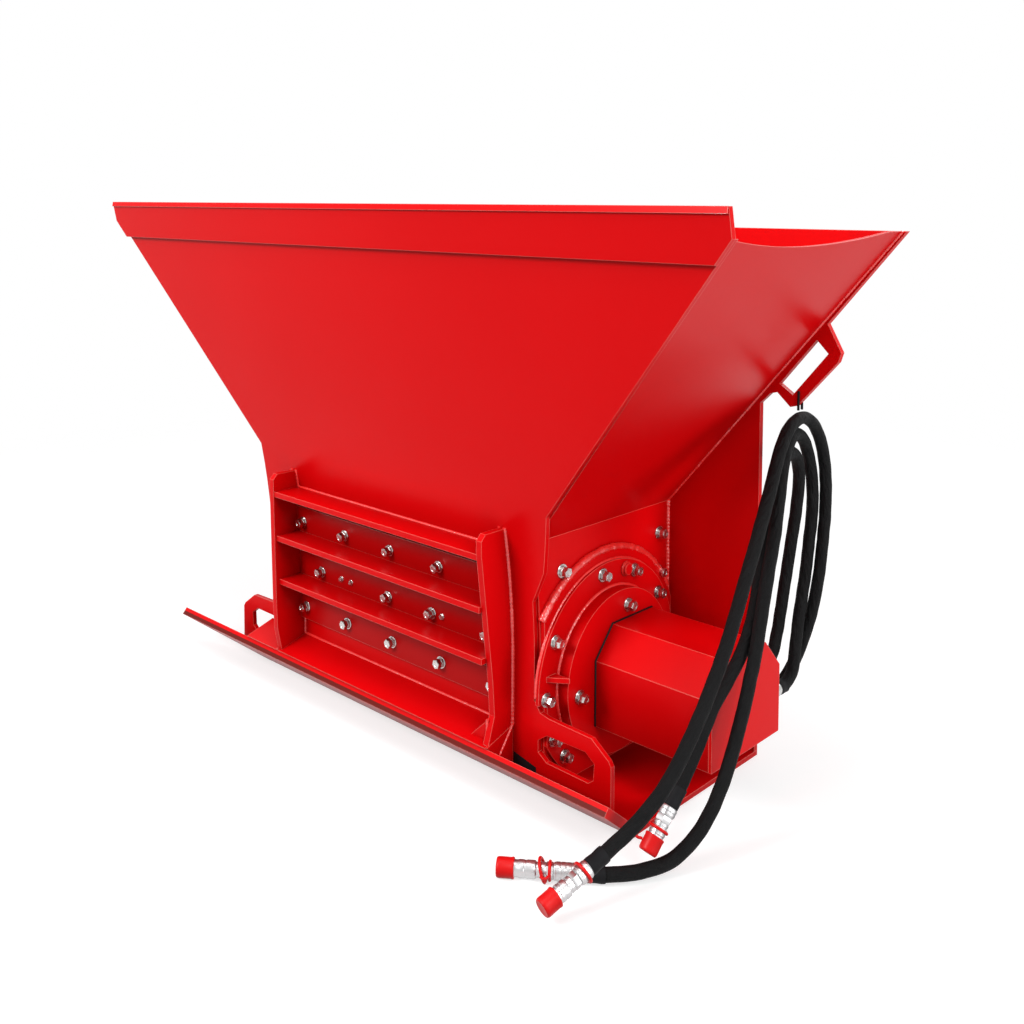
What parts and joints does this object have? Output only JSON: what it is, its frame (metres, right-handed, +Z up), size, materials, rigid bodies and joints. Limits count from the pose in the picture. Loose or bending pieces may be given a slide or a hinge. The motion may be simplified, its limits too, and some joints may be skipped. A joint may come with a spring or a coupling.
{
  "type": "block crusher attachment",
  "caption": "Skid-steer block crusher: flared hopper over a crushing rotor, bolted front bars, side drive with guard, and coiled hydraulic hoses with capped couplers.",
  "frame": {"origin": "centre of the body's bounding box at floor level, without the hoses", "axes": "+X along the rotor towards the drive side, +Y back towards the coupler plate, +Z up"},
  "size_m": [1.84, 0.8288, 1.126],
  "materials": {
    "red_paint": "glossy",
    "wear_steel": "worn",
    "dark_steel": "satin",
    "bright_steel": "machined",
    "zinc": "zinc plated",
    "hose_sleeve": "woven sleeve",
    "cap_plastic": "matte"
  },
  "bodies": {
    "root": {"front_plate": "red_paint", "front_band": "red_paint", "rear_plate": "red_paint", "side_wall_left": "red_paint", "side_wall_right": "red_paint", "end_plate_left": "red_paint", "end_plate_right": "red_paint", "rib_left": "red_paint", "rib_right": "red_paint", "shelf_top": "red_paint", "shelf_middle": "red_paint", "shelf_lower": "red_paint", "clamp_bars": "red_paint", "sill_plate": "red_paint", "base_plate": "red_paint", "base_lip": "red_paint", "drive_ring": "red_paint", "gearbox_flange": "red_paint", "gear_housing": "red_paint", "motor_guard": "red_paint", "guard_end": "red_paint", "bearing_left": "red_paint", "coupler_hook": "red_paint", "coupler_posts": "red_paint", "coupler_foot": "red_paint", "anvil_bars": "wear_steel", "rotor_drum": "dark_steel", "rotor_shaft": "bright_steel", "rotor_teeth": "wear_steel", "hydraulic_motor": "dark_steel", "motor_ports": "zinc", "bolts_front": "zinc", "bolts_drive": "zinc", "pressure_hose": "hose_sleeve", "pressure_coupler": "zinc", "pressure_cap": "cap_plastic", "return_hose": "hose_sleeve", "return_coupler": "zinc", "return_cap": "cap_plastic", "drain_hose": "hose_sleeve", "drain_coupler": "zinc", "drain_cap": "cap_plastic", "hose_tie": "hose_sleeve"}
  },
  "joints": []
}
